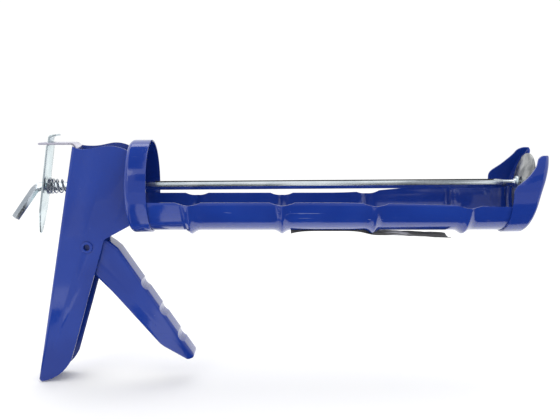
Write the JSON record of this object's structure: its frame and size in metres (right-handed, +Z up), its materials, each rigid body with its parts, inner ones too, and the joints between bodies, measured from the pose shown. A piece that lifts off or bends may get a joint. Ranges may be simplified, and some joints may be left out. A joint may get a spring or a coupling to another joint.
{
  "type": "caulking gun",
  "caption": "Half-barrel caulking gun with a ribbed sheet-metal cradle, a squeeze trigger, a hexagonal push rod and a spring-loaded release catch.",
  "frame": {"origin": "centre of the flat inside face of the rear cup, on the axis of the push rod, where a cartridge's rear end rests", "axes": "+X along the barrel towards the nozzle, +Z up away from the trigger, +Y to the far side seen with the nozzle on the right"},
  "size_m": [0.3096, 0.055, 0.1466],
  "materials": {
    "blue_paint": "gloss blue enamel on pressed steel",
    "zinc_steel": "bright zinc plate",
    "spring_steel": "zinc-plated spring wire",
    "label_paper": "dark printed sticker, left blank"
  },
  "bodies": {
    "gun_frame": {"handle_shell": "blue_paint", "rear_cup": "blue_paint", "cradle": "blue_paint", "nose_cap": "blue_paint", "catch_bracket": "zinc_steel", "bracket_rivets": "zinc_steel", "pivot_rivet": "blue_paint", "label": "label_paper", "spring_seat_washer": "zinc_steel", "trigger_washers": "zinc_steel", "main_spring": "spring_steel", "catch_spring": "spring_steel"},
    "trigger": {"trigger": "blue_paint"},
    "drive_plates": {"drive_plate_rear": "zinc_steel", "drive_plate_front": "zinc_steel"},
    "catch_plate": {"catch_plate": "zinc_steel"},
    "piston": {"piston_disc": "zinc_steel", "piston_washer": "zinc_steel", "piston_rivet": "zinc_steel"},
    "push_rod": {"rod": "zinc_steel"}
  },
  "joints": [
    {"name": "trigger_pivot", "type": "hinge", "parent": "gun_frame", "child": "trigger", "pos_m": [-0.0265, 0, -0.035], "axis": [0, 1, 0], "range_deg": [0, 30], "stiffness_Nm_per_rad": 0.566, "springref_deg": -8.59},
    {"name": "drive_slide", "type": "slide", "parent": "gun_frame", "child": "drive_plates", "axis": [1, 0, 0], "range_m": [0, 0.0141], "deforming": ["main_spring"]},
    {"name": "catch_tilt", "type": "hinge", "parent": "gun_frame", "child": "catch_plate", "pos_m": [-0.0478, 0, 0.025], "axis": [0, -1, 0], "range_deg": [0, 8], "stiffness_Nm_per_rad": 0.9, "springref_deg": -8.59, "deforming": ["catch_spring"]},
    {"name": "rod_slide", "type": "slide", "parent": "gun_frame", "child": "piston", "axis": [1, 0, 0.0063], "range_m": [-0.21, 0]},
    {"name": "rod_spin", "type": "hinge", "parent": "piston", "child": "push_rod", "pos_m": [-0.025, 0, 0], "axis": [1, 0, 0.0063], "continuous": true}
  ],
  "couplings": [
    {"joint": "drive_slide", "follows": "trigger_pivot", "m_per_rad": 0.0266}
  ]
}
